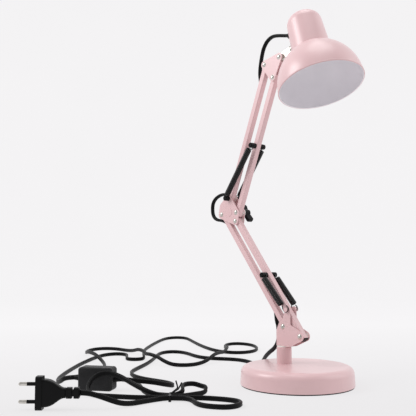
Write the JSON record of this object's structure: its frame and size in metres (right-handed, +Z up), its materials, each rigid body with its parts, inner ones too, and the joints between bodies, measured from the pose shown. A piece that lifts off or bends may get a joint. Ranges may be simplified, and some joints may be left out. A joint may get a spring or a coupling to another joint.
{
  "type": "jointed desk lamp",
  "caption": "Desk lamp on a round weighted base: two sprung parallelogram arms of square tube, a tilting bell shade, and a lead with switch, tied hank and plug.",
  "frame": {"origin": "centre of the round base's underside", "axes": "+Z up, +X from the base towards the head in the plane of the arms, +Y along the pivots"},
  "size_m": [0.6169, 0.5655, 0.4833],
  "materials": {
    "pink_paint": "satin powder coat",
    "cast_iron": "rough",
    "pad_rubber": "matt",
    "nickel": "bright",
    "black_nylon": "satin",
    "white_nylon": "satin",
    "spring_steel": "blackened",
    "cord_black": "satin",
    "holder_plastic": "satin"
  },
  "bodies": {
    "base": {"base_shell": "pink_paint", "base_weight": "cast_iron", "base_pad": "pad_rubber", "base_post": "pink_paint", "post_nut": "nickel", "swivel_washer": "white_nylon", "lead_drop": "cord_black", "lamp_lead": "cord_black", "switch_front_half": "black_nylon", "switch_back_half": "black_nylon", "switch_glands": "black_nylon", "table_lead": "cord_black", "lead_hank": "cord_black", "twist_tie": "black_nylon", "plug_lead": "cord_black", "plug_body": "black_nylon", "plug_pins": "nickel"},
    "turret": {"lower_bracket": "pink_paint", "swivel_stem": "nickel", "bracket_rivets": "nickel", "bracket_washers": "white_nylon", "lead_exit": "cord_black"},
    "lower_rear_arm": {"lower_rear_tube": "pink_paint", "lower_tube_lead": "cord_black"},
    "lower_front_arm": {"lower_front_tube": "pink_paint", "lower_front_plugs": "black_nylon", "lower_spring_pin": "nickel", "lower_pin_bobbins": "black_nylon", "lower_springs": "spring_steel"},
    "elbow": {"elbow_plate_far": "pink_paint", "elbow_plate_near": "pink_paint", "elbow_rivets": "nickel", "elbow_washers": "white_nylon", "elbow_bolt": "nickel", "elbow_spring_pin": "nickel", "elbow_bobbins": "black_nylon", "elbow_lead_upper": "cord_black", "elbow_lead_lower": "cord_black"},
    "knob": {"wing_knob": "black_nylon"},
    "upper_rear_arm": {"upper_rear_tube": "pink_paint", "upper_tube_lead": "cord_black"},
    "upper_front_arm": {"upper_front_tube": "pink_paint", "upper_spring_pin": "nickel", "upper_pin_bobbins": "black_nylon", "upper_springs": "spring_steel"},
    "yoke": {"yoke_plate_far": "pink_paint", "yoke_plate_near": "pink_paint", "yoke_rivets": "nickel", "yoke_washers": "white_nylon", "head_bolt": "nickel", "yoke_lead": "cord_black"},
    "head": {"shade_dome": "pink_paint", "socket_cap": "pink_paint", "lamp_holder": "holder_plastic", "shade_ring": "holder_plastic", "hinge_lug": "nickel", "lug_nut": "nickel", "cord_gland": "black_nylon", "head_lead": "cord_black"},
    "rocker": {"switch_rocker": "black_nylon"}
  },
  "joints": [
    {"name": "base_swivel", "type": "hinge", "parent": "base", "child": "turret", "pos_m": [-0.0225, 0, 0.0465], "axis": [0, 0, 1], "range_deg": [-120, 120], "deforming": ["lead_drop"]},
    {"name": "lower_arm_tilt", "type": "hinge", "parent": "turret", "child": "lower_rear_arm", "pos_m": [-0.0186, 0, 0.0726], "axis": [0, 1, 0], "range_deg": [-10, 60], "deforming": ["lead_exit"]},
    {"name": "lower_front_follow", "type": "hinge", "parent": "turret", "child": "lower_front_arm", "pos_m": [0.0104, 0, 0.062], "axis": [0, 1, 0], "range_deg": [-10, 60], "deforming": ["lower_springs"]},
    {"name": "elbow_level", "type": "hinge", "parent": "lower_rear_arm", "child": "elbow", "pos_m": [-0.1391, 0, 0.22464], "axis": [0, 1, 0], "range_deg": [-60, 10], "deforming": ["elbow_lead_lower"]},
    {"name": "upper_arm_tilt", "type": "hinge", "parent": "elbow", "child": "upper_rear_arm", "pos_m": [-0.1239, 0, 0.24724], "axis": [0, 1, 0], "range_deg": [-28, 80], "deforming": ["elbow_lead_upper"]},
    {"name": "upper_front_follow", "type": "hinge", "parent": "elbow", "child": "upper_front_arm", "pos_m": [-0.1084, 0, 0.22624], "axis": [0, 1, 0], "range_deg": [-28, 80], "deforming": ["upper_springs"]},
    {"name": "yoke_level", "type": "hinge", "parent": "upper_rear_arm", "child": "yoke", "pos_m": [-0.04966, 0, 0.42647], "axis": [0, 1, 0], "range_deg": [-80, 28], "deforming": ["yoke_lead"]},
    {"name": "head_tilt", "type": "hinge", "parent": "yoke", "child": "head", "pos_m": [-0.02176, 0, 0.43097], "axis": [0, 1, 0], "range_deg": [-60, 25], "deforming": ["head_lead"]},
    {"name": "knob_turn", "type": "hinge", "parent": "elbow", "child": "knob", "pos_m": [-0.1084, 0.0085, 0.22624], "axis": [0, 1, 0], "range_deg": [0, 270]},
    {"name": "rocker_tilt", "type": "hinge", "parent": "base", "child": "rocker", "pos_m": [-0.14004, -0.20662, 0.014], "axis": [0, 0, 1], "range_deg": [-14, 0]}
  ],
  "couplings": [
    {"joint": "lower_front_follow", "follows": "lower_arm_tilt", "ratio": 1},
    {"joint": "elbow_level", "follows": "lower_arm_tilt", "ratio": -1},
    {"joint": "upper_front_follow", "follows": "upper_arm_tilt", "ratio": 1},
    {"joint": "yoke_level", "follows": "upper_arm_tilt", "ratio": -1}
  ]
}
